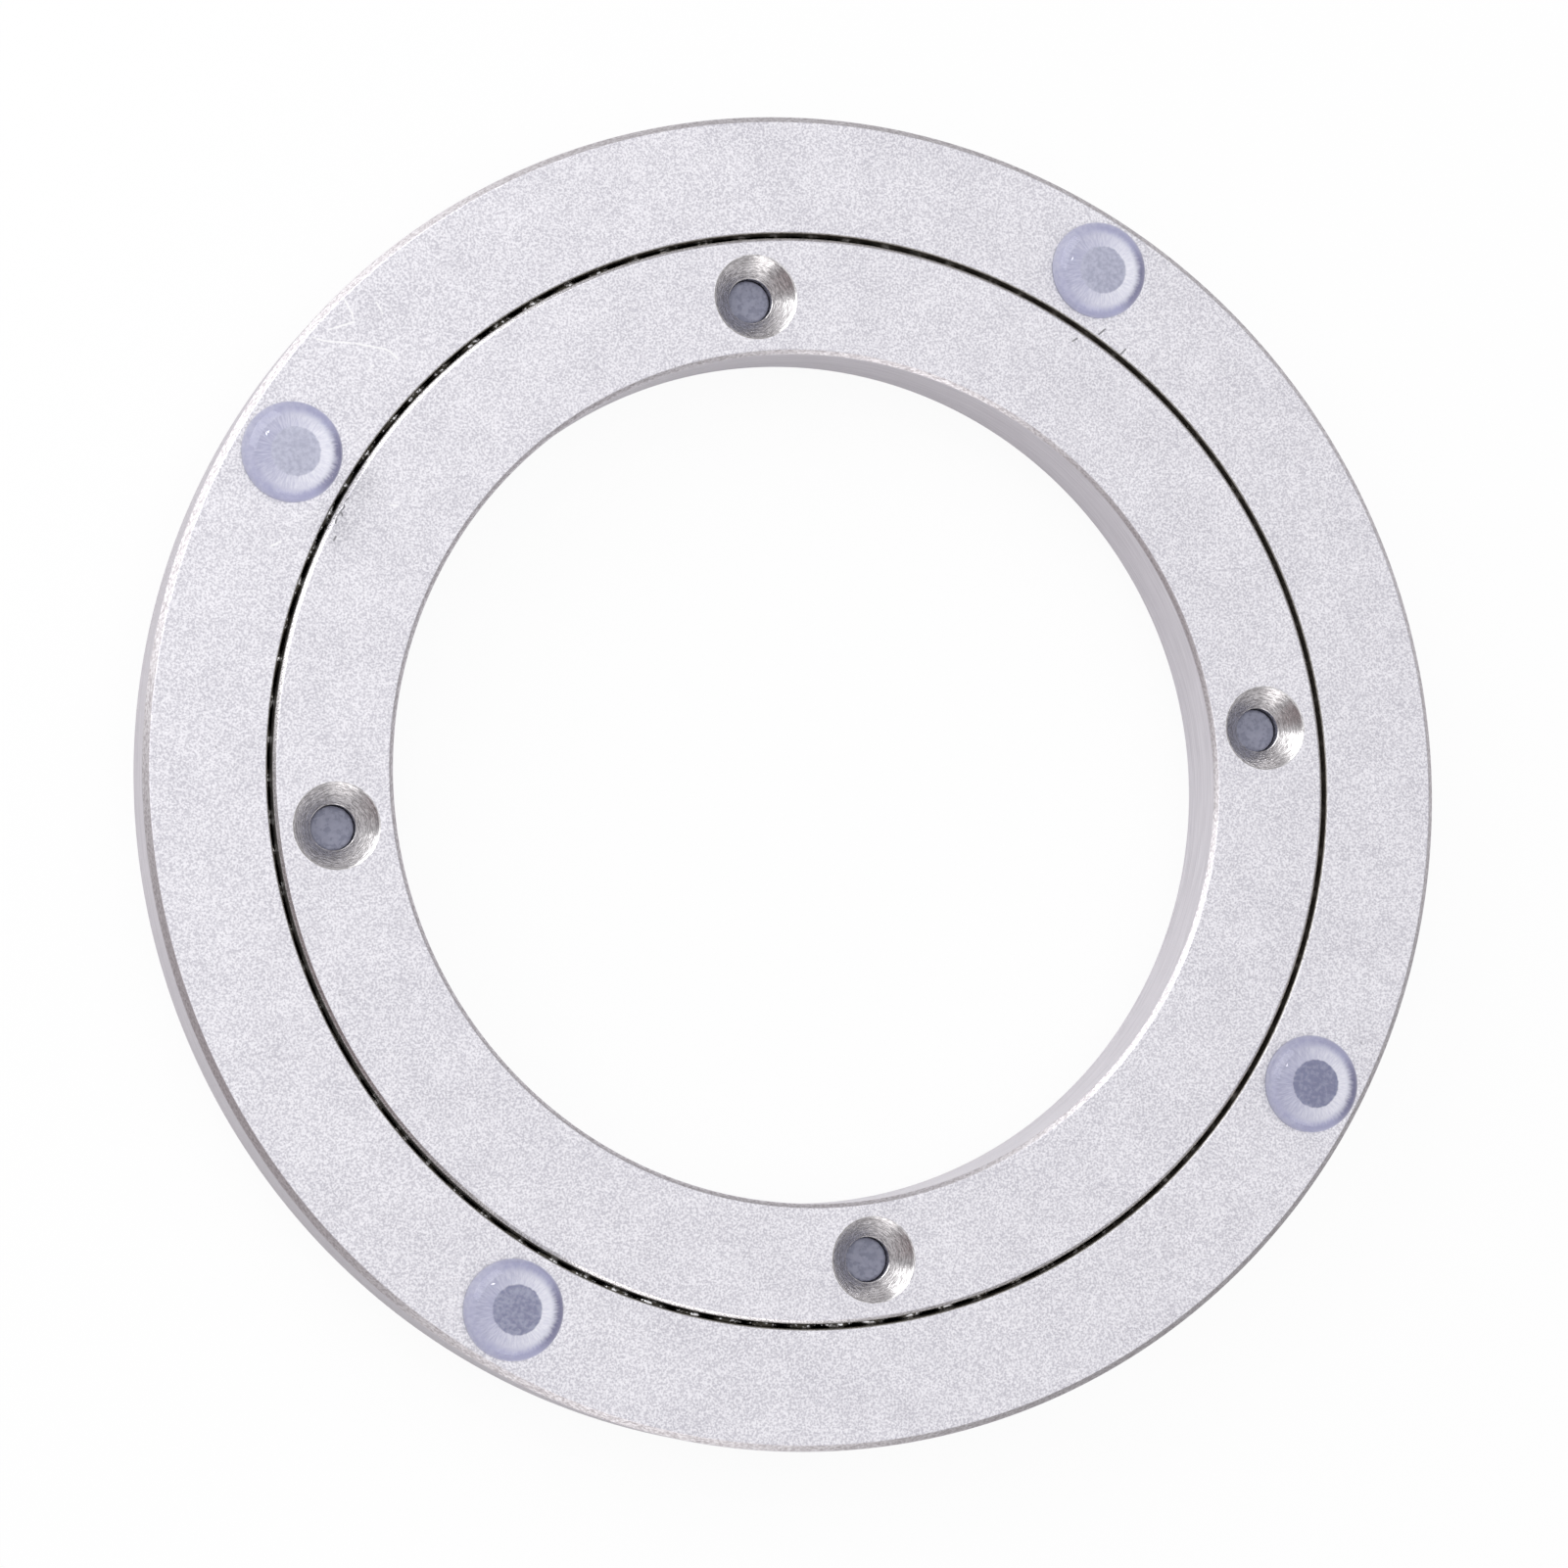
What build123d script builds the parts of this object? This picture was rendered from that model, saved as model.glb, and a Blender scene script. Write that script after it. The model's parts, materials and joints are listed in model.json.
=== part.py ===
from build123d import *
import os
from math import asin, pi, radians, tan

# Lazy susan bearing. Two aluminium rings lie one inside the other, and the outer one turns round the
# inner one on a full circle of loose steel balls. Clear pads with stems are pressed into the screw
# holes of both rings: the part stands on those under the inner ring, and a table top lies on those
# on the outer ring. Millimetres, +Z up. Z is the axis of turning, and the origin lies on it in the
# plane that the part stands on.

# Rings, from the middle opening outwards
bore_diameter = 89.0
inner_ring_width = 12.4
running_gap = 0.5
outer_ring_width = 12.6
inner_height = 8.5
outer_height = 7.8
bore_chamfer = 0.5
rim_chamfer = 0.4
lip_chamfer = 0.3
wall_chamfer = 0.7

# Balls and the groove that they run in
ball_diameter = 3.969
race_clearance = 0.065
least_ball_gap = 0.015
first_ball_angle = 0.6
ball_sets = 30

# Screw holes, on the middle line of each ring
hole_count = 4
screw_hole_diameter = 4.75
countersink_diameter = 8.9
countersink_angle = 82
inner_hole_angle = 6.5
outer_hole_angle = 59.4

# Clear pads and their stems
pad_diameter = 10.4
pad_height = 2.5
pad_shoulder = 2.2
stem_clearance = 0.05
stem_recess = 0.1
stem_round = 0.35

# Port in the outer wall that the balls are loaded through, and its plug
port_clearance = 0.15
plug_clearance = 0.02
plug_recess = 0.2

# Radii and heights that follow
bore_radius = bore_diameter / 2
rim_radius = bore_radius + inner_ring_width
lip_radius = rim_radius + running_gap
wall_radius = lip_radius + outer_ring_width
ball_circle_radius = (rim_radius + lip_radius) / 2
inner_hole_circle = (bore_radius + rim_radius) / 2
outer_hole_circle = (lip_radius + wall_radius) / 2
ball_plane = pad_height + inner_height / 2
inner_top = ball_plane + inner_height / 2
outer_top = ball_plane + outer_height / 2
outer_base = ball_plane - outer_height / 2

# Balls that the circle holds
ball_radius = ball_diameter / 2
groove_radius = ball_radius + race_clearance
ball_pitch_angle = 2 * asin((ball_diameter + least_ball_gap) / 2 / ball_circle_radius)
ball_count = int(2 * pi / ball_pitch_angle)

# Holes, stems and port that follow
screw_hole_radius = screw_hole_diameter / 2
countersink_radius = countersink_diameter / 2
countersink_depth = (countersink_radius - screw_hole_radius) / tan(radians(countersink_angle / 2))
pad_radius = pad_diameter / 2
stem_radius = screw_hole_radius - stem_clearance
stem_length = outer_height - countersink_depth - stem_recess
port_radius = ball_radius + port_clearance
plug_radius = port_radius - plug_clearance
port_angle = outer_hole_angle - 180 / hole_count

upside_down = Rotation(180, 0, 0)


def turned_ring(inner_radius, outer_radius, height, inner_chamfer, outer_chamfer):
    # A flat ring about the ball plane, its four edges chamfered, with the ball groove turned in it
    half = height / 2
    outline = Polyline(
        (inner_radius + inner_chamfer, -half),
        (outer_radius - outer_chamfer, -half),
        (outer_radius, outer_chamfer - half),
        (outer_radius, half - outer_chamfer),
        (outer_radius - outer_chamfer, half),
        (inner_radius + inner_chamfer, half),
        (inner_radius, half - inner_chamfer),
        (inner_radius, inner_chamfer - half),
        close=True,
    )
    section = make_face(outline) - Pos(ball_circle_radius, 0) * Circle(groove_radius)
    return Pos(0, 0, ball_plane) * revolve(Plane.XZ * section, Axis.Z)


def hole_spots(circle_radius, first_angle, level):
    # The places of one ring's screw holes, on a face at this level
    return [Pos(0, 0, level) * spot for spot in PolarLocations(circle_radius, hole_count, first_angle)]


def radial_bar(radius):
    # A round bar out from the ball circle, where the port runs through the outer ring
    length = wall_radius
    bar = Cylinder(radius, length, rotation=(0, 90, 0), align=(Align.CENTER, Align.CENTER, Align.MIN))
    return Rotation(0, 0, port_angle) * Pos(ball_circle_radius, 0, ball_plane) * bar


def make_inner_ring():
    # Its countersinks open upwards, so that screws go down into a base
    ring = turned_ring(bore_radius, rim_radius, inner_height, bore_chamfer, rim_chamfer)
    hole = CounterSinkHole(screw_hole_radius, countersink_radius, 2 * inner_height, countersink_angle)
    for spot in hole_spots(inner_hole_circle, inner_hole_angle, inner_top):
        ring -= spot * hole
    return ring


def make_outer_ring():
    # Its countersinks open downwards, so that screws go up into a table top
    ring = turned_ring(lip_radius, wall_radius, outer_height, lip_chamfer, wall_chamfer)
    hole = CounterSinkHole(screw_hole_radius, countersink_radius, 2 * outer_height, countersink_angle)
    for spot in hole_spots(outer_hole_circle, outer_hole_angle, outer_base):
        ring -= spot * upside_down * hole
    return ring - radial_bar(port_radius)


def make_port_plug():
    # Its inner end carries on the groove, and its outer end lies just inside the wall
    blank = turned_ring(lip_radius, wall_radius - plug_recess, outer_height, lip_chamfer, wall_chamfer)
    return blank & radial_bar(plug_radius)


def make_stem_pad():
    # A flat round pad standing on z = 0, with rounded shoulders and a stem below it
    head = Cylinder(pad_radius, pad_height, align=(Align.CENTER, Align.CENTER, Align.MIN))
    head = fillet(head.edges().group_by(Axis.Z)[-1], min(pad_shoulder, 0.9 * pad_height))
    stem = Cylinder(stem_radius, stem_length, align=(Align.CENTER, Align.CENTER, Align.MAX))
    stem = fillet(stem.edges().group_by(Axis.Z)[0], stem_round)
    return head + stem


def make_ball_set(set_number):
    # Neighbouring balls, loose in the groove. The sets share the circle of balls out evenly.
    first_ball = set_number * ball_count // ball_sets
    next_set = (set_number + 1) * ball_count // ball_sets
    balls = []
    for ball_number in range(first_ball, next_set):
        angle = first_ball_angle + ball_number * 360 / ball_count
        spot = Rotation(0, 0, angle) * Pos(ball_circle_radius, 0, ball_plane)
        balls.append(spot * Sphere(ball_radius))
    return Compound(children=balls)


pieces = {
    "inner_ring": make_inner_ring(),
    "outer_ring": make_outer_ring(),
    "port_plug": make_port_plug(),
}

stem_pad = make_stem_pad()
foot_spots = hole_spots(inner_hole_circle, inner_hole_angle, pad_height)
top_spots = hole_spots(outer_hole_circle, outer_hole_angle, outer_top)
for number in range(hole_count):
    pieces[f"foot_pad_{number + 1}"] = foot_spots[number] * upside_down * stem_pad
    pieces[f"top_pad_{number + 1}"] = top_spots[number] * stem_pad

for number in range(ball_sets):
    pieces[f"ball_set_{number + 1:02d}"] = make_ball_set(number)

os.makedirs("parts", exist_ok=True)
for name, piece in pieces.items():
    export_step(piece, f"parts/{name}.step")

print(len(pieces), "pieces,", ball_count, "balls")
print("Outer diameter", 2 * wall_radius, "and height over the pads", outer_top + pad_height)
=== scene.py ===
import json
import math
import bmesh
import bpy
from mathutils import Matrix, Vector


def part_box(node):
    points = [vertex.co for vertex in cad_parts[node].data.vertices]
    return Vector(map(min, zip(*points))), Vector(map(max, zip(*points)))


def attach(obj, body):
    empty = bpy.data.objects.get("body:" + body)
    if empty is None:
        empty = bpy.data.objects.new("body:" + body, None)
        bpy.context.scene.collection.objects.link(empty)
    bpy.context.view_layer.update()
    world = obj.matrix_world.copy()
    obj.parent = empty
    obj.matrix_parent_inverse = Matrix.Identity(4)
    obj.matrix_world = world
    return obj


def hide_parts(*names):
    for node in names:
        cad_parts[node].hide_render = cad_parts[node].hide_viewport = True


# Looks, light and camera for the lazy susan bearing. Metres, +Z up, the axis of turning is Z.

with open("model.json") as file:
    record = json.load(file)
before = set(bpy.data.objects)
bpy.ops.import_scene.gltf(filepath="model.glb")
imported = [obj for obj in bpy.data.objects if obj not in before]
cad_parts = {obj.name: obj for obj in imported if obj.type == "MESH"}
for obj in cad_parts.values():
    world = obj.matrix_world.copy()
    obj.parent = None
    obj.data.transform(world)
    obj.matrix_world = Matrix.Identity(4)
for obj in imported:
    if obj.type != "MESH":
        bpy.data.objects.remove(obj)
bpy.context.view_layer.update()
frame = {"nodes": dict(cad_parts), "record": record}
mm = 0.001
tiny = 0.002 * mm  # points nearer than this are one point
print("Loaded the bearing,", len(frame["nodes"]), "nodes")


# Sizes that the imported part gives

def middleOf(node):
    low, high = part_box(node)
    return (low + high) / 2


mounts = {mount["name"]: mount["dims"] for mount in frame["record"]["mounts"]}
innerLow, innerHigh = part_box("inner_ring")
outerLow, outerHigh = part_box("outer_ring")
topPadLow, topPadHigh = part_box("top_pad_1")
ballLow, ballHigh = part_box("ball_set_01")
plugLow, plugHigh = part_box("port_plug")
boreRadius = mounts["centre_bore"]["r_mm"] * mm
rimRadius = innerHigh.x
wallRadius = outerHigh.x
holeRadius = mounts["base_screw_holes"]["hole_r_mm"] * mm
innerHoleCircle = mounts["base_screw_holes"]["pcd_mm"] / 2 * mm
outerHoleCircle = mounts["table_screw_holes"]["pcd_mm"] / 2 * mm
lipRadius = 2 * outerHoleCircle - wallRadius  # the holes lie midway between lip and wall
ballPlane = (ballLow.z + ballHigh.z) / 2
ballCircle = (rimRadius + lipRadius) / 2
padRadius = (topPadHigh.x - topPadLow.x) / 2
padHeight = topPadHigh.z - outerHigh.z
stemLength = outerHigh.z - topPadLow.z
topSpots = [middleOf(f"top_pad_{number}") for number in range(1, 5)]
footSpots = [middleOf(f"foot_pad_{number}") for number in range(1, 5)]
plugMiddle = middleOf("port_plug")
innerHoleTurn = math.atan2(footSpots[0].y, footSpots[0].x)
outerHoleTurn = math.atan2(topSpots[0].y, topSpots[0].x)


# Shader maths: an expression on these adds the nodes that it needs

class Link:
    def __init__(self, socket):
        self.socket = socket

    def node(self, kind, settings=(), inputs=(), output=0):  # adds any node to the same tree
        tree = self.socket.id_data
        made = tree.nodes.new("ShaderNode" + kind)
        for name, value in dict(settings).items():
            setattr(made, name, value)
        for name, value in dict(inputs).items():
            if isinstance(value, Link):
                tree.links.new(value.socket, made.inputs[name])
            else:
                made.inputs[name].default_value = value
        return Link(made.outputs[output])

    def combine(self, operation, first, second=0.0):  # two values, or two vectors
        kind = "VectorMath" if self.socket.type == "VECTOR" else "Math"
        return self.node(kind, {"operation": operation}, {0: first, 1: second})

    def __add__(self, other):
        return self.combine("ADD", self, other)

    def __radd__(self, other):
        return self.combine("ADD", other, self)

    def __sub__(self, other):
        return self.combine("SUBTRACT", self, other)

    def __rsub__(self, other):
        return self.combine("SUBTRACT", other, self)

    def __mul__(self, other):
        if self.socket.type == "VECTOR":
            return self.node("VectorMath", {"operation": "SCALE"}, {0: self, "Scale": other})
        return self.combine("MULTIPLY", self, other)

    def __rmul__(self, other):
        return self * other

    def __truediv__(self, other):
        return self.combine("DIVIDE", self, other)

    def __rtruediv__(self, other):
        return self.combine("DIVIDE", other, self)

    def __abs__(self):
        return self.combine("ABSOLUTE", self)

    def least(self, other):
        return self.combine("MINIMUM", self, other)

    def most(self, other):
        return self.combine("MAXIMUM", self, other)

    def part(self, axis):  # one coordinate of a vector
        return self.node("SeparateXYZ", (), {0: self}, axis)

    def fade(self, low, high, start=0.0, end=1.0):  # runs smoothly from start at low to end at high
        stretch = {"Value": self, "From Min": low, "From Max": high, "To Min": start, "To Max": end}
        return self.node("MapRange", {"interpolation_type": "SMOOTHSTEP"}, stretch)

    def spread(self, start=0.0, end=1.0):  # a noise stretched over the values that it mostly has
        return self.fade(0.30, 0.70, start, end)

    def noise(self, size, detail=2.0, roughness=0.5):  # grains of about this size
        inputs = {"Vector": self, "Scale": 1 / size, "Detail": detail, "Roughness": roughness}
        return self.node("TexNoise", (), inputs)

    def mixColour(self, first, second):  # self is the share of the second colour
        return self.node("Mix", {"data_type": "RGBA"}, {0: self, 6: first, 7: second}, 2)


def lengthOf(vector):
    return vector.node("VectorMath", {"operation": "LENGTH"}, {0: vector}, "Value")


def dotOf(vector, direction):
    return vector.node("VectorMath", {"operation": "DOT_PRODUCT"}, {0: vector, 1: direction}, "Value")


def flatten(place):  # drops the height
    return place.node("VectorMath", {"operation": "MULTIPLY"}, {0: place, 1: (1, 1, 0)})


def topSide(place):  # 1 above the plane of the balls, 0 below it
    return place.part("Z").fade(ballPlane - mm, ballPlane + mm)


def startMaterial(name):
    material = bpy.data.materials.new(name)
    material.use_nodes = True
    shader = material.node_tree.nodes["Principled BSDF"]
    place = Link(shader.outputs[0]).node("TexCoord", (), (), "Object")
    return material, shader, place


def feed(shader, socket, value):
    shader.id_data.links.new(value.socket, shader.inputs[socket])


bumpDepth = 0.02 * mm


def bumpFrom(shader, height, strength):
    bump = height.node("Bump", (), {"Strength": strength, "Distance": bumpDepth, "Height": height})
    feed(shader, "Normal", bump)


# A painted shadow of the left pad, grey across the gap beside it

padShadow = {
    "spots": [Vector((-48.0, 29.2, 0)) * mm, Vector((-50.3, 25.2, 0)) * mm],
    "reach": 3.8 * mm,
    "colour": (0.42, 0.415, 0.45, 1),
}


def addPadShadow(colour, place, share):  # lays the painted pad shadow over a colour
    flat = flatten(place)
    for spot in padShadow["spots"]:
        away = lengthOf(flat - spot)
        colour = (away.fade(0.0, padShadow["reach"], 1.0, 0.0) * share).mixColour(colour, padShadow["colour"])
    return colour


# Blasted faces of both rings, with their scratches and marks

blasted = {
    "dark": (0.61, 0.60, 0.65, 1),
    "bright": (0.975, 0.965, 1.0, 1),
    "grain": 0.228 * mm,
    "grainEdge": (0.385, 0.615),
    "cloud": 5.0 * mm,
    "cloudShare": 0.12,
    "metallic": 0.85,
    "roughness": (0.52, 0.40),  # on the dark and on the bright grains
    "roughnessEdge": (0.25, 0.75),
    "bump": 0.35,
    "pitSpacing": 4.5 * mm,
    "pitRadius": 0.16 * mm,
    "pitColour": (0.30, 0.29, 0.32, 1),
    "pitShare": 0.6,
    "pitDepth": 1.5,
    "smearShares": (0.60, 0.24),  # on the dark and on the bright grains
    "smearEdge": (0.40, 0.60),
    "scratchWidth": 0.13 * mm,
    "scratchColour": (1.0, 1.0, 1.0, 1),
    "scratchShare": 0.9,
    "scratchDepth": 0.8,
    "wearSize": 0.8 * mm,
    "wearEdge": (0.30, 0.50),
    "leastWear": 0.35,
    "markWidth": 0.12 * mm,
    "markColour": (0.16, 0.16, 0.17, 1),
    "markShare": 0.8,
    "lineEdge": (0.4, 1.1),  # a scratch or mark fades between these shares of its width
}
outerScratches = [  # each a line of points on the ring's face, in millimetres
    [
        (-52.6, 44.3), (-51.4, 44.0), (-48.6, 43.9), (-46.4, 43.6),
        (-45.2, 43.4), (-44.7, 43.2), (-43.9, 42.5),
    ],
    [(-49.3, 48.3), (-48.6, 47.0), (-48.4, 46.1), (-49.5, 45.7), (-51.0, 45.2)],
    [(-46.0, 48.2), (-45.4, 47.1)],
    [(-46.9, 41.1), (-46.4, 41.7)],
    [(-57.0, 22.7), (-56.0, 23.2)],
]
innerScratches = [
    [(-44.7, 27.2), (-44.0, 27.2)],
]
outerMarks = [  # dark hairlines
    [(32.4, 47.9), (33.1, 48.5)],
    [(34.8, 45.8), (35.4, 46.4)],
]
innerMarks = [
    [(29.3, 47.0), (29.8, 47.3)],
    [(-50.6, 23.4), (-50.4, 23.8)],
    [(-49.1, 27.8), (-49.6, 27.3), (-49.5, 26.9), (-49.9, 26.4), (-49.7, 26.0)],
    [(-49.9, 26.4), (-50.3, 25.8), (-50.4, 25.2)],
]


def nearLines(place, lines, width, edge):  # 1 in the middle of a line, 0 away from it
    flat = flatten(place)
    nearest = None
    for line in lines:
        for here, there in zip(line, line[1:]):
            start = Vector((*here, 0)) * mm
            run = Vector((*there, 0)) * mm - start
            away = flat - start
            along = dotOf(away, run / run.length_squared)
            share = along.node("Clamp", (), {"Value": along})
            foot = share.node("VectorMath", {"operation": "SCALE"}, {0: run, "Scale": share})
            gap = lengthOf(away - foot)
            nearest = gap if nearest is None else nearest.least(gap)
    within, beyond = edge
    return nearest.fade(within * width, beyond * width, 1.0, 0.0)


def makeBlasted(name, look, scratches, marks):
    material, shader, place = startMaterial(name)
    grain = place.noise(look["grain"], 3.0, 0.7)
    cloud = place.noise(look["cloud"])
    cloudShare = look["cloudShare"]
    tone = grain.fade(*look["grainEdge"]) * (1 - cloudShare) + cloud.spread() * cloudShare
    colour = tone.mixColour(look["dark"], look["bright"])
    cells = place.node("TexVoronoi", (), {"Vector": place, "Scale": 1 / look["pitSpacing"]}, "Distance")
    pitRadius = look["pitRadius"]
    pit = (cells * look["pitSpacing"]).fade(pitRadius / 2, pitRadius, 1.0, 0.0)
    colour = (pit * look["pitShare"]).mixColour(colour, look["pitColour"])
    onTop = topSide(place)
    # The left pad's painted shadow, broken up by the grain
    broken = grain.fade(*look["smearEdge"], *look["smearShares"])
    colour = addPadShadow(colour, place, broken * onTop)
    worn = place.noise(look["wearSize"]).fade(*look["wearEdge"], look["leastWear"], 1.0)
    scratch = nearLines(place, scratches, look["scratchWidth"], look["lineEdge"]) * worn * onTop
    colour = (scratch * look["scratchShare"]).mixColour(colour, look["scratchColour"])
    mark = nearLines(place, marks, look["markWidth"], look["lineEdge"]) * onTop
    colour = (mark * look["markShare"]).mixColour(colour, look["markColour"])
    height = grain - pit * look["pitDepth"] - (scratch + mark) * look["scratchDepth"]
    feed(shader, "Base Color", colour)
    shader.inputs["Metallic"].default_value = look["metallic"]
    feed(shader, "Roughness", grain.fade(*look["roughnessEdge"], *look["roughness"]))
    bumpFrom(shader, height, look["bump"])
    return material


# Turned metal: walls with fine lines round the axis, coarser lines on the chamfers, darker metal beside
# the gap, and cones with rings round each hole

turnedWall = {
    "dark": (0.62, 0.60, 0.635, 1),
    "bright": (0.78, 0.76, 0.795, 1),
    "roughness": 0.36,
    "across": 0.10 * mm,
    "along": 6.0 * mm,
    "bump": 0.12,
    "metallic": 0.9,
}
darkGroove = {
    "dark": (0.025, 0.023, 0.022, 1),
    "bright": (0.10, 0.095, 0.09, 1),
    "roughness": 0.45,
    "across": 0.12 * mm,
    "along": 0.5 * mm,
    "bump": 0.3,
    "metallic": 0.5,
}
darkGapLip = {
    "dark": (0.15, 0.13, 0.11, 1),
    "bright": (0.50, 0.45, 0.39, 1),
    "roughness": 0.40,
    "across": 0.14 * mm,
    "along": 0.4 * mm,
    "bump": 0.5,
    "metallic": 0.9,
}
darkGapChamfer = {
    "dark": (0.34, 0.33, 0.31, 1),
    "bright": (0.70, 0.685, 0.66, 1),
    "roughness": 0.45,
    "across": 0.18 * mm,
    "along": 0.35 * mm,
    "bump": 0.4,
    "metallic": 1.0,
    "smearShare": 0.7,
}
turnedEdge = {
    "dark": (0.48, 0.45, 0.465, 1),
    "bright": (0.84, 0.82, 0.84, 1),
    "roughness": 0.40,
    "across": 0.18 * mm,
    "along": 0.35 * mm,
    "bump": 0.5,
    "metallic": 1.0,
}
turnedCone = {
    "dark": (0.40, 0.385, 0.39, 1),
    "bright": (0.98, 0.965, 0.97, 1),
    "roughness": 0.24,
    "across": 0.15 * mm,
    "along": 0.55 * mm,
    "bump": 1.3,
    "metallic": 1.0,
}
duller, shinier = 0.08, 0.05  # how far the dark and the bright lines lie from the look's roughness


def ringLines(place, across, along):  # noise drawn out round the Z axis
    radius = lengthOf(flatten(place))
    stretch = (1 / along, 1 / along, 1 / across)
    slow = place.node("VectorMath", {"operation": "MULTIPLY"}, {0: place, 1: stretch})
    inputs = {"Vector": slow, "W": radius / across, "Scale": 1.0, "Detail": 2.0, "Roughness": 0.6}
    return slow.node("TexNoise", {"noise_dimensions": "4D"}, inputs)


def holeSpace(place, circle, turn):  # the place measured from the axis of the nearest of four holes
    turned = place.node("Mapping", {"vector_type": "POINT"}, {"Vector": place, "Rotation": (0, 0, -turn)})
    first, second = abs(turned.part("X")), abs(turned.part("Y"))
    outwards = first.most(second) - circle
    return place.node("CombineXYZ", (), {0: outwards, 1: first.least(second), 2: turned.part("Z")})


def makeTurned(name, look, hole=None):
    material, shader, place = startMaterial(name)
    centre = holeSpace(place, *hole) if hole else place
    lines = ringLines(centre, look["across"], look["along"])
    colour = lines.spread().mixColour(look["dark"], look["bright"])
    # The left pad's painted shadow, on the chamfers beside the gap
    if "smearShare" in look:
        colour = addPadShadow(colour, place, topSide(place) * look["smearShare"])
    feed(shader, "Base Color", colour)
    shader.inputs["Metallic"].default_value = look["metallic"]
    feed(shader, "Roughness", lines.spread(look["roughness"] + duller, look["roughness"] - shinier))
    bumpFrom(shader, lines, look["bump"])
    return material


# Polished balls and clear pads

ballSteel = {
    "colour": (0.88, 0.88, 0.90, 1),
    "grease": (0.06, 0.055, 0.045, 1),
    "greaseSize": 0.55 * mm,
    "greaseEdge": (0.50, 0.62),
    "roughness": (0.04, 0.24),  # clean and greasy
}
clearPad = {
    "colour": (0.975, 0.977, 0.995, 1),
    "shadow": (0.97, 0.975, 0.99, 1),
    "ior": 1.45,
    "roughness": (0.02, 0.07),
    "ripple": 0.9 * mm,
    "rippleBump": 0.12,
}
padUnderside = {
    "root": (0.215, 0.225, 0.345, 1),
    "rootOffset": (-0.3 * mm, 0, 0),
    "rootEdge": (2.38 * mm, 2.55 * mm),
    "rootWobble": 0.25 * mm,
    "rootCloud": (-0.12, 0.30),
    "milkyRoot": (0.56, 0.57, 0.67, 1),
    "milkyBack": (-35 * mm, 45 * mm, 0, 0.60),  # where it begins and ends, and its share at each
    "milkyLeft": (20 * mm, -50 * mm, 0, 0.20),
    "dull": (0.42, 0.425, 0.57, 1),
    "bright": (0.94, 0.94, 0.98, 1),
    "brightSide": math.radians(-12),
    "brightRing": (-0.07, 0.65),  # share of the bright colour opposite the painted light and on it
    "streak": 0.22 * mm,
    "streakShare": 0.35,
    "streakCircle": 3.2 * mm,
    "streakDrift": 0.25,
    "padDrift": 0.02,  # no two pads have the same streaks
    "streakEdge": (3.45 * mm, 4.15 * mm),
    "streakWobble": 0.3 * mm,
    "rim": (0.43, 0.435, 0.61, 1),
    "rimCloud": (-0.05, 0.15),
    "rimSide": -0.20,
    "rimShade": (0.60, 1.0, 0, 0.85),
    "edge": (0.18, 0.175, 0.28, 1),
    "edgeBand": (0.25 * mm, 0.02 * mm, 0, 0.8),  # a painted contact shadow: how far in from the pad's edge, and its share
    "cloud": 0.4 * mm,
    "roughness": 0.5,
    "specular": 0.2,
}
cloudyStem = {
    "dark": (0.24, 0.25, 0.34, 1),
    "bright": (0.38, 0.39, 0.49, 1),
    "clear": 0.15,
    "ior": 1.45,
    "roughness": (0.20, 0.40),
    "cloud": 0.7 * mm,
    "bump": 0.3,
}


def makeBallSteel(look):
    material, shader, place = startMaterial("polishedBalls")
    grease = place.noise(look["greaseSize"], 3.0, 0.6).fade(*look["greaseEdge"], 1.0, 0.0)
    feed(shader, "Base Color", grease.mixColour(look["colour"], look["grease"]))
    feed(shader, "Roughness", grease.fade(0.0, 1.0, *look["roughness"]))
    shader.inputs["Metallic"].default_value = 1.0
    return material


def makePadHead(look):  # clear, and the light goes straight through it
    material, shader, place = startMaterial("padHeads")
    ripple = place.noise(look["ripple"])
    shader.inputs["Base Color"].default_value = look["colour"]
    shader.inputs["IOR"].default_value = look["ior"]
    shader.inputs["Transmission Weight"].default_value = 1.0
    feed(shader, "Roughness", ripple.spread(*look["roughness"]))
    bumpFrom(shader, ripple, look["rippleBump"])
    glass = Link(shader.outputs[0])
    shadowRay = glass.node("LightPath", (), (), "Is Shadow Ray")
    passed = glass.node("BsdfTransparent", (), {"Color": look["shadow"]})
    whole = glass.node("MixShader", (), {0: shadowRay, 1: glass, 2: passed})
    output = material.node_tree.nodes["Material Output"]
    material.node_tree.links.new(whole.socket, output.inputs["Surface"])
    return material


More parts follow.
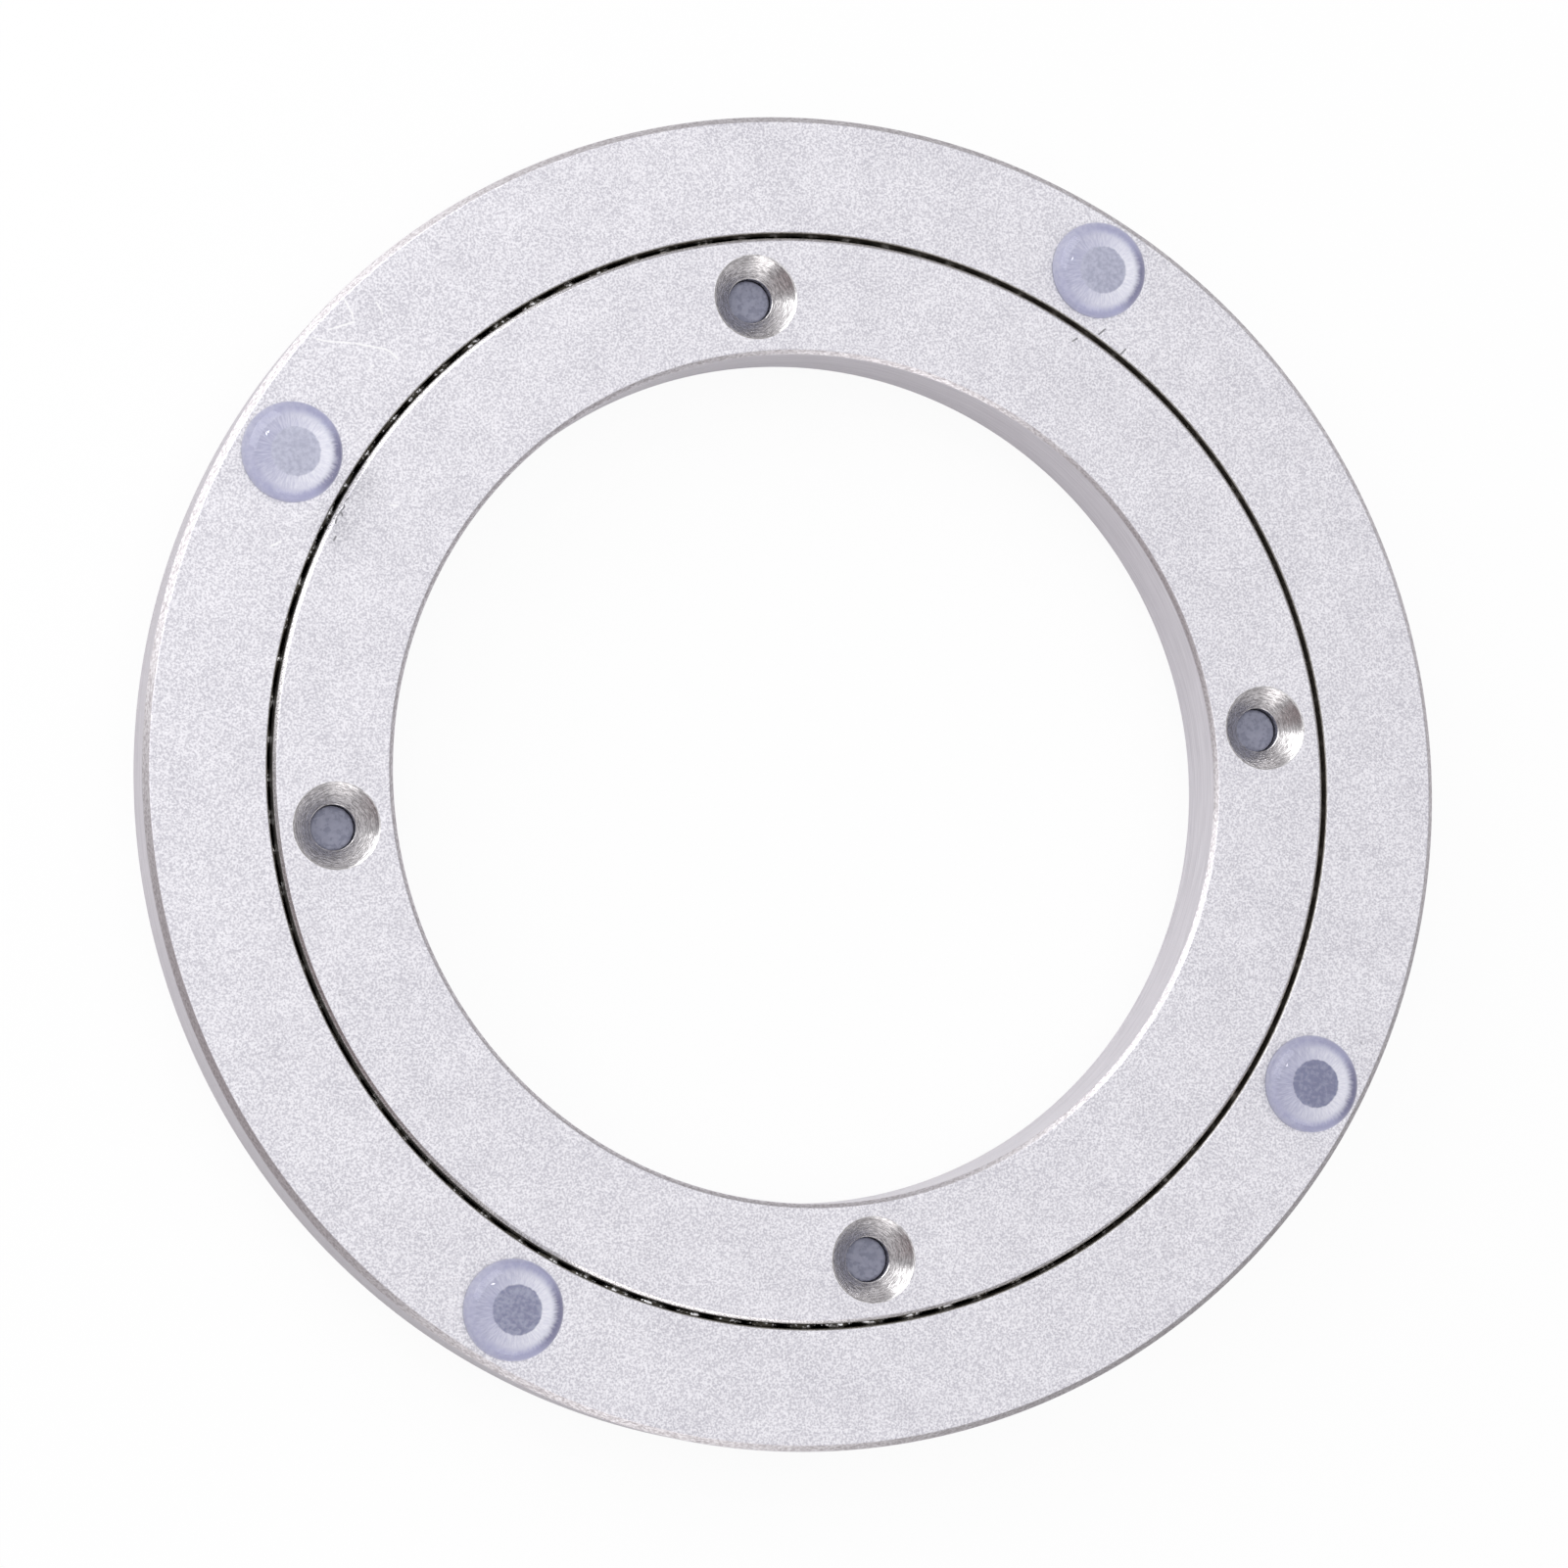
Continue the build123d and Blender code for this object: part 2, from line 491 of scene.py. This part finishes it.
def makeUnderside(look):  # the stem's root with a painted sheen, a ring of bright streaks round it with painted light on one side, and the dull rim with painted shade
    material, shader, place = startMaterial("padUndersides")
    offset = place.node("Attribute", {"attribute_name": "fromAxis"}, (), "Vector")
    radius = lengthOf(offset)
    rootRadius = lengthOf(offset + Vector(look["rootOffset"]))
    around = offset.node("VectorMath", {"operation": "NORMALIZE"}, {0: offset})
    side = look["brightSide"]
    towardsPaintedLight = dotOf(around, (math.cos(side), math.sin(side), 0))
    cloud = place.noise(look["cloud"], 3.0, 0.6)

    # The roots are painted lighter towards the back and the left, a painted sheen of an overhead light
    paintedSheen = place.part("Y").fade(*look["milkyBack"]) + place.part("X").fade(*look["milkyLeft"])
    root = (paintedSheen + cloud.spread(*look["rootCloud"])).mixColour(look["root"], look["milkyRoot"])

    # Streaks run outwards, because the noise is read on a circle and moves little with the radius
    spokes = around * look["streakCircle"] + offset * look["streakDrift"] + place * look["padDrift"]
    streaks = spokes.noise(look["streak"], 3.0, 0.65).spread()
    # The ring is painted brighter on one side, a painted caustic of the light through the dome
    least, most = look["brightRing"]
    bright = streaks * look["streakShare"] + towardsPaintedLight * ((most - least) / 2) + (most + least) / 2
    ring = bright.mixColour(look["dull"], look["bright"])
    # On the side of the painted light the rim gets painted shade
    pale = cloud.spread(*look["rimCloud"]) + towardsPaintedLight * look["rimSide"]
    rim = pale.mixColour(look["rim"], look["bright"])
    rim = towardsPaintedLight.fade(*look["rimShade"]).mixColour(rim, look["edge"])

    fromRoot = rootRadius + (cloud - 0.5) * look["rootWobble"]
    colour = fromRoot.fade(*look["rootEdge"]).mixColour(root, ring)
    streakEnd = (radius + rootRadius) / 2 + (streaks - 0.5) * look["streakWobble"]
    colour = streakEnd.fade(*look["streakEdge"]).mixColour(colour, rim)
    # A painted contact shadow round the pad's edge
    colour = (padRadius - radius).fade(*look["edgeBand"]).mixColour(colour, look["edge"])
    feed(shader, "Base Color", colour)
    shader.inputs["Roughness"].default_value = look["roughness"]
    shader.inputs["Specular IOR Level"].default_value = look["specular"]
    return material


def makeCloudy(name, look):
    material, shader, place = startMaterial(name)
    cloud = place.noise(look["cloud"], 3.0, 0.6)
    feed(shader, "Base Color", cloud.spread().mixColour(look["dark"], look["bright"]))
    shader.inputs["IOR"].default_value = look["ior"]
    shader.inputs["Transmission Weight"].default_value = look["clear"]
    feed(shader, "Roughness", cloud.spread(*look["roughness"]))
    bumpFrom(shader, cloud, look["bump"])
    return material


blastedOuter = makeBlasted("blastedOuter", blasted, outerScratches, outerMarks)
blastedInner = makeBlasted("blastedInner", blasted, innerScratches, innerMarks)
wallMetal = makeTurned("turnedWall", turnedWall)
edgeMetal = makeTurned("turnedEdge", turnedEdge)
grooveMetal = makeTurned("darkGapGroove", darkGroove)
lipMetal = makeTurned("darkGapLip", darkGapLip)
gapEdgeMetal = makeTurned("darkGapChamfer", darkGapChamfer)
innerCone = makeTurned("innerCone", turnedCone, (innerHoleCircle, innerHoleTurn))
outerCone = makeTurned("outerCone", turnedCone, (outerHoleCircle, outerHoleTurn))
ballMetal = makeBallSteel(ballSteel)
headPlastic = makePadHead(clearPad)
undersidePlastic = makeUnderside(padUnderside)
stemPlastic = makeCloudy("padStems", cloudyStem)
print("Made the materials")


# Modelling by hand: outlines drawn in the XZ plane and spun round the Z axis

def pick(kind, test):  # selects the vertices, edges or faces of the edited piece that pass the test
    bpy.ops.mesh.select_mode(type=kind)
    bpy.ops.mesh.select_all(action="DESELECT")
    mesh = bmesh.from_edit_mesh(bpy.context.edit_object.data)
    mesh.normal_update()
    parts = {"VERT": mesh.verts, "EDGE": mesh.edges, "FACE": mesh.faces}[kind]
    for part in [part for part in parts if test(part)]:
        part.select_set(True)
    bmesh.update_edit_mesh(bpy.context.edit_object.data)


def addFlat(name, low, high):  # an upright rectangle in the XZ plane, from low to high, in edit mode
    bpy.ops.object.select_all(action="DESELECT")
    bpy.ops.mesh.primitive_plane_add(size=1, location=(low + high) / 2, rotation=(math.pi / 2, 0, 0))
    piece = bpy.context.object
    piece.name = name
    piece.scale = (high.x - low.x, high.z - low.z, 1)
    bpy.ops.object.transform_apply(location=True, rotation=True, scale=True)
    bpy.ops.object.mode_set(mode="EDIT")
    bpy.ops.mesh.select_mode(type="VERT")
    return piece


def drawTo(*points):  # carries the outline on from the selected end
    for point in points:
        mesh = bmesh.from_edit_mesh(bpy.context.edit_object.data)
        end = next(vertex for vertex in mesh.verts if vertex.select)
        bpy.ops.mesh.extrude_vertices_move(TRANSFORM_OT_translate={"value": point - end.co})


def startOutline(name, point):  # a plane drawn together to one vertex, in edit mode
    piece = addFlat(name, point - Vector((mm, 0, mm)), point + Vector((mm, 0, mm)))
    bpy.ops.mesh.select_all(action="SELECT")
    bpy.ops.mesh.merge(type="CENTER")
    return piece


def spinOutline(steps):
    bpy.ops.mesh.select_all(action="SELECT")
    bpy.ops.mesh.spin(steps=steps, angle=2 * math.pi, center=(0, 0, 0), axis=(0, 0, 1))
    bpy.ops.mesh.select_all(action="SELECT")
    bpy.ops.mesh.remove_doubles(threshold=tiny)
    bpy.ops.mesh.normals_make_consistent(inside=False)
    bpy.ops.object.mode_set(mode="OBJECT")


def at(radius, height):
    return Vector((radius, 0, height))


def copyTo(piece, name, place):  # a copy with a mesh of its own, its place in that mesh
    copy = piece.copy()
    copy.data = piece.data.copy()
    copy.data.transform(place)
    copy.name = name
    bpy.context.collection.objects.link(copy)
    return copy


def cutWith(piece, cutters):
    bpy.ops.object.select_all(action="DESELECT")
    bpy.context.view_layer.objects.active = piece
    piece.select_set(True)
    for cutter in cutters:
        cut = piece.modifiers.new("cut", "BOOLEAN")
        cut.operation = "DIFFERENCE"
        cut.solver = "EXACT"
        cut.material_mode = "TRANSFER"
        cut.object = cutter
        bpy.ops.object.modifier_apply(modifier=cut.name)
        bpy.data.objects.remove(cutter)


def smoothPiece(piece, angle):  # rounded edges shade smoothly, flat faces stay flat
    bpy.ops.object.select_all(action="DESELECT")
    bpy.context.view_layer.objects.active = piece
    piece.select_set(True)
    bpy.ops.object.shade_smooth_by_angle(angle=math.radians(angle))
    weighted = piece.modifiers.new("weighted", "WEIGHTED_NORMAL")
    weighted.keep_sharp = True
    bpy.ops.object.modifier_apply(modifier=weighted.name)


# The two rings, chamfered as the solids are, but for a finer lip

ringShape = {
    "boreChamfer": 0.5 * mm,
    "rimChamfer": 0.4 * mm,
    "lipChamfer": 0.2 * mm,
    "wallChamfer": 0.7 * mm,
    "edgeRound": 0.07 * mm,
    "grooveRadius": 2.0495 * mm,
    "grooveSteps": 18,
    "ringSteps": 360,
    "smoothBelow": 35,  # degrees
}
countersink = {
    "radius": 4.45 * mm,
    "depth": 2.387 * mm,
    "toolMarks": 11,
    "markDepth": 0.03 * mm,
    "lipRound": 0.10 * mm,
    "steps": 96,
}
portShape = {
    "plugGap": 0.02 * mm,
    "flare": 0.12 * mm,
    "steps": 64,
}


# grooveSide is 1 where the groove is in the ring's outer side, and -1 where it is in the inner side
def makeRing(
    name, inner, outer, low, high, innerChamfer, outerChamfer, grooveSide, faceMetal, lipWallMetal,
):
    ring = addFlat(name, at(inner, low), at(outer, high))
    centre = (inner + outer) / 2
    pick("VERT", lambda vertex: vertex.co.x < centre)
    bpy.ops.mesh.bevel(offset=innerChamfer, segments=1, affect="VERTICES")
    pick("VERT", lambda vertex: vertex.co.x > outer - tiny)
    bpy.ops.mesh.bevel(offset=outerChamfer, segments=1, affect="VERTICES")
    bpy.ops.mesh.select_all(action="SELECT")
    bpy.ops.mesh.delete(type="ONLY_FACE")

    # The ball groove takes the place of the straight edge beside the balls
    side = outer if grooveSide > 0 else inner
    chamfer = outerChamfer if grooveSide > 0 else innerChamfer
    reach = abs(ballCircle - side)
    grooveRadius = ringShape["grooveRadius"]
    lipHeight = math.sqrt(grooveRadius ** 2 - reach ** 2)
    halfAngle = math.acos(reach / grooveRadius)
    pick("EDGE", lambda edge: all(abs(vertex.co.x - side) < tiny for vertex in edge.verts))
    bpy.ops.mesh.delete(type="EDGE")
    pick("VERT", lambda vertex: (vertex.co - at(side, high - chamfer)).length < tiny)
    drawTo(at(side, ballPlane + lipHeight))
    turn = 2 * halfAngle * grooveSide
    ballMiddle = at(ballCircle, ballPlane)
    bpy.ops.mesh.spin(steps=ringShape["grooveSteps"], angle=turn, center=ballMiddle, axis=(0, 1, 0))
    drawTo(at(side, low + chamfer))
    bpy.ops.mesh.select_all(action="SELECT")
    bpy.ops.mesh.remove_doubles(threshold=tiny)

    # Every corner is broken by a small round
    def isCorner(vertex):
        fromBall = (vertex.co - ballMiddle).length
        return fromBall > grooveRadius + tiny or abs(vertex.co.x - side) < tiny

    pick("VERT", isCorner)
    bpy.ops.mesh.bevel(offset=ringShape["edgeRound"], segments=2, affect="VERTICES")
    spinOutline(ringShape["ringSteps"])

    # Faces are blasted, walls and chamfers are turned, and all that lies beside the gap is darker
    for metal in (faceMetal, wallMetal, edgeMetal, grooveMetal, lipWallMetal, gapEdgeMetal):
        ring.data.materials.append(metal)
    bpy.ops.object.mode_set(mode="EDIT")

    def besideBalls(face):
        middle = face.calc_center_median()
        fromBalls = abs(math.hypot(middle.x, middle.y) - ballCircle)
        return fromBalls < grooveRadius + tiny and abs(middle.z - ballPlane) < lipHeight + tiny

    atLip, nearGap = 0.1 * mm, mm  # how near to the gap the lip's wall and its chamfers lie
    leastTilt, mostTilt = 0.6, 0.8  # a chamfer's normal rises or falls by a share between these

    def fromGap(face):
        middle = face.calc_center_median()
        return abs(math.hypot(middle.x, middle.y) - side)

    def onWall(face):
        return abs(face.normal.z) < leastTilt

    def onChamfer(face):
        return leastTilt < abs(face.normal.z) < mostTilt

    choose = {
        1: onWall,
        2: onChamfer,
        3: besideBalls,
        4: lambda face: onWall(face) and fromGap(face) < atLip and not besideBalls(face),
        5: lambda face: onChamfer(face) and fromGap(face) < nearGap and not besideBalls(face),
    }
    for slotNumber, test in choose.items():
        pick("FACE", test)
        ring.active_material_index = slotNumber
        bpy.ops.object.material_slot_assign()
    bpy.ops.object.mode_set(mode="OBJECT")
    return ring


def makeHoleCutter(name, ringHeight, metal):  # the screw hole and its cone, opening upwards at height 0
    shape = countersink
    piece = startOutline(name, at(0, -ringHeight - mm))
    drawTo(at(holeRadius, -ringHeight - mm))
    start, end = at(holeRadius, -shape["depth"]), at(shape["radius"], 0)
    outwards = Vector((end.z - start.z, 0, start.x - end.x)).normalized()
    drawTo(start)
    halfMarks = 2 * shape["toolMarks"]
    for number in range(1, halfMarks):
        drawTo(start.lerp(end, number / halfMarks) + outwards * shape["markDepth"] * (number % 2))
    lip = shape["lipRound"]
    drawTo(start.lerp(end, 1 - lip / shape["depth"]))  # the cone's mouth is rounded over
    drawTo(end + at(lip * 0.2, -lip * 0.25), end + at(lip * 0.7, 0), end + at(lip * 1.6, lip * 0.5))
    drawTo(end + at(lip * 1.6, mm), at(0, mm))
    spinOutline(shape["steps"])
    piece.data.materials.append(metal)
    return piece


def makePortCutter():  # the round port that the balls are loaded through, turned to the plug
    radius = (plugHigh.z - plugLow.z) / 2 + portShape["plugGap"]
    flare = portShape["flare"]
    piece = startOutline("portCutter", at(0, ballCircle))
    drawTo(at(radius, ballCircle), at(radius, wallRadius - flare))
    drawTo(at(radius + 2 * flare, wallRadius + flare), at(radius + 2 * flare, wallRadius + mm))
    drawTo(at(0, wallRadius + mm))
    spinOutline(portShape["steps"])
    piece.data.materials.append(wallMetal)
    turn = math.atan2(plugMiddle.y, plugMiddle.x)
    layDown = Matrix.Rotation(turn, 4, "Z") @ Matrix.Rotation(math.pi / 2, 4, "Y")
    piece.data.transform(Matrix.Translation(at(0, ballPlane)) @ layDown)
    return piece


def holeCutters(cutter, spots, height, upsideDown):
    flip = Matrix.Rotation(math.pi if upsideDown else 0, 4, "X")
    cutters = []
    for spot in spots:
        cutters.append(copyTo(cutter, "holeCutter", Matrix.Translation((spot.x, spot.y, height)) @ flip))
    bpy.data.objects.remove(cutter)
    return cutters


innerRing = makeRing(
    "turned_inner_ring", boreRadius, rimRadius, innerLow.z, innerHigh.z,
    ringShape["boreChamfer"], ringShape["rimChamfer"], 1, blastedInner, grooveMetal,
)
cutter = makeHoleCutter("innerCutter", innerHigh.z - innerLow.z, innerCone)
cutWith(innerRing, holeCutters(cutter, footSpots, innerHigh.z, False))
smoothPiece(innerRing, ringShape["smoothBelow"])
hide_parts("inner_ring")
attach(innerRing, "base")

outerRing = makeRing(
    "turned_outer_ring", lipRadius, wallRadius, outerLow.z, outerHigh.z,
    ringShape["lipChamfer"], ringShape["wallChamfer"], -1, blastedOuter, lipMetal,
)
cutter = makeHoleCutter("outerCutter", outerHigh.z - outerLow.z, outerCone)
cutWith(outerRing, holeCutters(cutter, topSpots, outerLow.z, True) + [makePortCutter()])
smoothPiece(outerRing, ringShape["smoothBelow"])
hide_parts("outer_ring")
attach(outerRing, "turntable")
print("Turned both rings:", len(innerRing.data.polygons), "and", len(outerRing.data.polygons), "faces")


# Clear stem pads: four carry the table top, four are the feet

padShape = {
    "crownSteps": 24,
    "stemGap": 0.05 * mm,
    "stemRound": 0.35 * mm,
    "stemRoundSteps": 6,
    "underGap": 0.02 * mm,
    "steps": 96,
    "smoothBelow": 40,  # degrees
}


def makeHead(look):  # a clear dome that stands on height 0, flatter on top than half a ball
    base = look["underGap"]
    piece = startOutline("padHead", at(0, padHeight))
    for step in range(1, look["crownSteps"] + 1):
        turn = math.pi / 2 * step / look["crownSteps"]
        drawTo(at(padRadius * math.sqrt(math.sin(turn)), base + (padHeight - base) * math.cos(turn)))
    drawTo(at(0, base))
    spinOutline(look["steps"])
    piece.data.materials.append(headPlastic)
    piece.data.materials.append(undersidePlastic)
    bpy.ops.object.mode_set(mode="EDIT")
    pick("FACE", lambda face: face.normal.z < -0.9)  # its flat underside
    piece.active_material_index = 1
    bpy.ops.object.material_slot_assign()
    bpy.ops.object.mode_set(mode="OBJECT")
    return piece


def makeStem(look):  # the stem hangs below height 0, its end rounded
    radius, endRound = holeRadius - look["stemGap"], look["stemRound"]
    piece = startOutline("padStem", at(0, 0))
    drawTo(at(radius, 0), at(radius, endRound - stemLength))
    middle = at(radius - endRound, endRound - stemLength)
    bpy.ops.mesh.spin(steps=look["stemRoundSteps"], angle=-math.pi / 2, center=middle, axis=(0, 1, 0))
    drawTo(at(0, -stemLength))
    spinOutline(look["steps"])
    piece.data.materials.append(stemPlastic)
    return piece


def makePad(look):
    head, stem = makeHead(look), makeStem(look)
    bpy.ops.object.select_all(action="DESELECT")
    bpy.context.view_layer.objects.active = head
    head.select_set(True)
    stem.select_set(True)
    bpy.ops.object.join()
    smoothPiece(head, look["smoothBelow"])
    fromAxis = head.data.attributes.new("fromAxis", "FLOAT_VECTOR", "POINT")
    for vertex in head.data.vertices:
        fromAxis.data[vertex.index].vector = (vertex.co.x, vertex.co.y, 0)
    return head


pad = makePad(padShape)
flip = Matrix.Rotation(math.pi, 4, "X")
for number, (top, foot) in enumerate(zip(topSpots, footSpots), 1):
    upright = Matrix.Translation((top.x, top.y, outerHigh.z))
    hanging = Matrix.Translation((foot.x, foot.y, padHeight)) @ flip
    topPad = copyTo(pad, f"clear_top_pad_{number}", upright)
    footPad = copyTo(pad, f"clear_foot_pad_{number}", hanging)
    for piece, body in ((topPad, "turntable"), (footPad, "base")):
        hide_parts(piece.name.replace("clear_", ""))
        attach(piece, body)
bpy.data.objects.remove(pad)
print("Pressed the pads in")


# The balls and the plug keep their solids and get their finish

for name, node in frame["nodes"].items():
    if name.startswith("ball_set_"):
        node.material_slots[0].material = ballMetal
    elif name == "port_plug":
        node.material_slots[0].material = wallMetal


# Floor, light and camera

room = {
    "floorSize": 4.0,
    "floorDrop": 0.05 * mm,
    "nearFloor": (0.80, 0.79, 0.80, 1),  # what the part mirrors of the floor, near it and far off
    "farFloor": (0.45, 0.45, 0.45, 1),
    "floorRoughness": 0.9,
    "seenFloor": (0.92, 0.92, 0.92, 1),  # what the camera sees of it
    "floorReach": (0.10, 0.35),  # where the near floor ends and the far floor begins
    "darkCards": [  # painted shade on the floor as the part mirrors it: side, where each begins and ends, its share
        (math.radians(-45), 0.06, 0.12, 0.62),
        (math.radians(68), 0.07, 0.11, 0.22),
        (math.radians(228), 0.055, 0.08, 0.20),
    ],
    "cardShade": (0.05, 0.05, 0.05, 1),
    "brightSide": math.radians(-55),
    "brightEdge": (-0.01, 0.04),
    "brightFloor": (1.0, 1.0, 1.0, 1),
    "brightReach": (0.045, 0.060),  # a painted pool of light in the bore; it fades out under the inner ring
    "seenWhite": 0.93,  # how much the floor glows to the camera, in mirrors and through the pads
    "mirroredWhite": 0.1,
    "throughWhite": 0.25,
    "horizon": (0.36, 0.35, 0.36, 1),
    "zenith": (0.93, 0.925, 0.94, 1),
    "flag": (0.26, 0.21, 0.215, 1),
    "flagSide": math.radians(208),
    "flagRise": math.radians(12),
    "flagEdge": (0.84, 0.98),
    "glow": (2.0, 1.955, 1.955, 1),
    "glowSide": math.radians(268),
    "glowRise": math.radians(8),
    "glowEdge": (0.90, 0.98),
    "domeEdge": (0.20, 0.85),
}
keyLamp = {
    "side": math.radians(136),
    "rise": math.radians(24),
    "distance": 0.7,
    "width": 0.75,
    "height": 0.55,
    "power": 2.75,
}
glintLamp = {
    "side": math.radians(128),
    "rise": math.radians(58),
    "distance": 0.7,
    "width": 0.06,
    "height": 0.05,
    "power": 0.20,
}


def towards(side, rise):
    return Vector((math.cos(side) * math.cos(rise), math.sin(side) * math.cos(rise), math.sin(rise)))


def layFloor(look):
    bpy.ops.object.select_all(action="DESELECT")
    bpy.ops.mesh.primitive_plane_add(size=look["floorSize"], location=(0, 0, -look["floorDrop"]))
    floor = bpy.context.object
    floor.name = "floor"
    material, shader, place = startMaterial("paleFloor")
    shader.inputs["Roughness"].default_value = look["floorRoughness"]
    shader.inputs["Specular IOR Level"].default_value = 0.0
    lit = Link(shader.outputs[0])
    seen = lit.node("LightPath", (), (), "Is Camera Ray")
    mirrored = lit.node("LightPath", (), (), "Is Glossy Ray")
    through = lit.node("LightPath", (), (), "Is Transmission Ray")
    beyond = lengthOf(place).fade(*look["floorReach"])
    unseen = beyond.mixColour(look["nearFloor"], look["farFloor"])
    # A painted pool of light on the floor inside the bore, towards one side
    within = lengthOf(place).fade(*look["brightReach"], 1.0, 0.0)
    bright = dotOf(place, towards(look["brightSide"], 0)).fade(*look["brightEdge"])
    unseen = (bright * within).mixColour(unseen, look["brightFloor"])
    # Painted shade on the floor: darker patches on three sides
    for side, start, end, share in look["darkCards"]:
        floorShade = dotOf(place, towards(side, 0)).fade(start, end) * share
        unseen = floorShade.mixColour(unseen, look["cardShade"])
    feed(shader, "Base Color", seen.mixColour(unseen, look["seenFloor"]))
    share = (seen * look["seenWhite"]).most(mirrored * look["mirroredWhite"])
    share = share.most(through * look["throughWhite"])
    white = lit.node("Emission", (), {"Color": (1, 1, 1, 1), "Strength": 1.0})
    mixed = lit.node("MixShader", (), {0: share, 1: lit, 2: white})
    output = material.node_tree.nodes["Material Output"]
    material.node_tree.links.new(mixed.socket, output.inputs["Surface"])
    floor.data.materials.append(material)


def lightRoom(look):
    world = bpy.data.worlds.new("room")
    bpy.context.scene.world = world
    world.use_nodes = True
    background = world.node_tree.nodes["Background"]
    start = Link(background.outputs[0])
    direction = start.node("TexCoord", (), (), "Generated")
    dome = direction.part("Z").fade(*look["domeEdge"]).mixColour(look["horizon"], look["zenith"])
    for name in ("flag", "glow"):
        middle = towards(look[name + "Side"], look[name + "Rise"])
        dome = dotOf(direction, middle).fade(*look[name + "Edge"]).mixColour(dome, look[name])
    camera = direction.node("LightPath", (), (), "Is Camera Ray")
    sky = camera.mixColour(dome, (1, 1, 1, 1))
    world.node_tree.links.new(sky.socket, background.inputs["Color"])


def hangLamp(name, look):
    lamp = bpy.data.lights.new(name, "AREA")
    lamp.shape = "RECTANGLE"
    lamp.size = look["width"]
    lamp.size_y = look["height"]
    lamp.energy = look["power"]
    holder = bpy.data.objects.new(name, lamp)
    bpy.context.collection.objects.link(holder)
    direction = towards(look["side"], look["rise"])
    holder.location = direction * look["distance"]
    holder.rotation_euler = direction.to_track_quat("Z", "Y").to_euler()


view = {
    "aim": Vector((-3.233, -0.906, 10.65)) * mm,
    "tilt": math.radians(16.276),
    "side": math.radians(198.067),
    "distance": 477.29 * mm,
    "lens": 105.156,
    "sensor": 36,
    "nearest": 0.01,
}


def setCamera(look):
    camera = bpy.data.cameras.new("camera")
    camera.lens = look["lens"]
    camera.sensor_width = look["sensor"]
    camera.clip_start = look["nearest"]
    holder = bpy.data.objects.new("camera", camera)
    bpy.context.collection.objects.link(holder)
    direction = towards(look["side"], math.pi / 2 - look["tilt"])
    holder.location = look["aim"] + direction * look["distance"]
    holder.rotation_euler = Vector((0, 0, 1)).rotation_difference(direction).to_euler()
    bpy.context.scene.camera = holder


layFloor(room)
lightRoom(room)
hangLamp("keyLamp", keyLamp)
hangLamp("glintLamp", glintLamp)
setCamera(view)
bpy.context.scene.view_settings.view_transform = "Standard"
print("Set the floor, the light and the camera")
